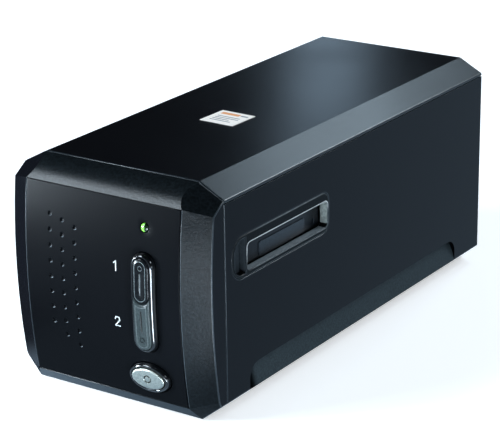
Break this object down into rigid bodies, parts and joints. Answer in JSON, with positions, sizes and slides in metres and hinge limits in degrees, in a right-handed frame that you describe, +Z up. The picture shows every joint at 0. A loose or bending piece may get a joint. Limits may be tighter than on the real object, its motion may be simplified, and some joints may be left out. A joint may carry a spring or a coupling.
{
  "type": "film negative scanner",
  "caption": "Long eight-sided desk-top film scanner with a convex front panel, oval buttons, sprung film slots in both sides and a belt-driven scan carriage inside.",
  "frame": {"origin": "centre of the bounding box's footprint, on the table that the feet stand on", "axes": "+Z up, +Y from the front panel to the rear panel, +X to the right as seen from the front"},
  "size_m": [0.12, 0.2824, 0.1203],
  "materials": {
    "case_black": "fine satin texture, nearly black",
    "gloss_black": "gloss",
    "dark_button": "semi-gloss, dark grey",
    "grey_button": "semi-gloss, grey",
    "silver_paint": "silver painted",
    "green_lens": "clear green",
    "dark_plastic": "moulded, plain",
    "white_plastic": "milky",
    "rubber": "matt",
    "steel": "ground",
    "sheet_steel": "zinc plated",
    "board_green": "solder mask",
    "brass": "turned",
    "nylon": "natural nylon",
    "optical_glass": "coated",
    "mirror": "front silvered",
    "paper": "printed label, plain",
    "flex_amber": "flexible circuit"
  },
  "bodies": {
    "case": {"top_cover": "case_black", "case_base": "case_black", "front_bezel": "case_black", "front_panel": "case_black", "rear_panel": "case_black", "button_surround": "gloss_black", "power_ring": "gloss_black", "status_light": "green_lens", "slot_frame_right": "gloss_black", "flap_pin_right": "steel", "slot_frame_left": "gloss_black", "flap_pin_left": "steel", "film_track": "dark_plastic", "detent_spring": "steel", "chassis_plate": "sheet_steel", "guide_rod_left": "steel", "guide_rod_right": "steel", "gear_axle": "steel", "stepper_motor": "sheet_steel", "idler_axle": "steel", "drive_belt": "rubber", "board_bracket": "sheet_steel", "main_board": "board_green", "usb_socket": "sheet_steel", "power_jack": "dark_plastic", "sensor_flex": "flex_amber", "button_flex": "flex_amber", "button_board": "board_green", "upper_switch": "dark_plastic", "lower_switch": "dark_plastic", "power_switch": "dark_plastic", "rear_screw_left": "steel", "rear_screw_right": "steel", "foot_front_left": "rubber", "foot_rear_left": "rubber", "foot_front_right": "rubber", "foot_rear_right": "rubber", "top_label": "paper"},
    "upper_button": {"upper_button": "dark_button"},
    "lower_button": {"lower_button": "grey_button"},
    "power_button": {"power_button": "silver_paint"},
    "flap_right": {"dust_flap_right": "dark_plastic", "flap_spring_right": "steel"},
    "flap_left": {"dust_flap_left": "dark_plastic", "flap_spring_left": "steel"},
    "carriage": {"scan_carriage": "dark_plastic", "carriage_lid": "dark_plastic", "fold_mirror": "mirror", "lens_barrel": "gloss_black", "lens_glass": "optical_glass", "sensor_board": "board_green", "line_sensor": "dark_plastic", "lamp_board": "board_green", "lamp_diffuser": "white_plastic", "rod_bush_front": "brass", "rod_bush_rear": "brass"},
    "gear": {"drive_gear": "nylon"},
    "pinion": {"motor_pinion": "brass"},
    "idler": {"idler_pulley": "nylon"}
  },
  "joints": [
    {"name": "upper_button_press", "type": "slide", "parent": "case", "child": "upper_button", "axis": [0, 1, 0], "range_m": [0, 0.0008], "stiffness_N_per_m": 450, "springref_m": -0.0012},
    {"name": "lower_button_press", "type": "slide", "parent": "case", "child": "lower_button", "axis": [0, 1, 0], "range_m": [0, 0.0008], "stiffness_N_per_m": 450, "springref_m": -0.0012},
    {"name": "power_button_press", "type": "slide", "parent": "case", "child": "power_button", "axis": [0, 1, 0], "range_m": [0, 0.0008], "stiffness_N_per_m": 450, "springref_m": -0.0012},
    {"name": "flap_right_hinge", "type": "hinge", "parent": "case", "child": "flap_right", "pos_m": [0.0528, -0.06295, 0.0882], "axis": [0, 1, 0], "range_deg": [0, 78], "stiffness_Nm_per_rad": 0.003, "springref_deg": -28.65},
    {"name": "flap_left_hinge", "type": "hinge", "parent": "case", "child": "flap_left", "pos_m": [-0.0528, -0.06295, 0.0882], "axis": [0, -1, 0], "range_deg": [0, 78], "stiffness_Nm_per_rad": 0.003, "springref_deg": -28.65},
    {"name": "carriage_slide", "type": "slide", "parent": "case", "child": "carriage", "axis": [0, 1, 0], "range_m": [-0.036, 0], "deforming": ["sensor_flex"]},
    {"name": "drive_gear_spin", "type": "hinge", "parent": "case", "child": "gear", "pos_m": [0, 0.1107, 0.03], "axis": [0, 0, 1], "range_deg": [-300, 0]},
    {"name": "motor_pinion_spin", "type": "hinge", "parent": "case", "child": "pinion", "pos_m": [0.028, 0.1107, 0.038], "axis": [0, 0, 1], "range_deg": [0, 1101]},
    {"name": "idler_pulley_spin", "type": "hinge", "parent": "case", "child": "idler", "pos_m": [0, -0.0993, 0.016], "axis": [0, 0, 1], "range_deg": [-300, 0]}
  ],
  "couplings": [
    {"joint": "drive_gear_spin", "follows": "carriage_slide", "rad_per_m": 144.93},
    {"joint": "motor_pinion_spin", "follows": "carriage_slide", "rad_per_m": -531.4},
    {"joint": "idler_pulley_spin", "follows": "carriage_slide", "rad_per_m": 144.93}
  ]
}
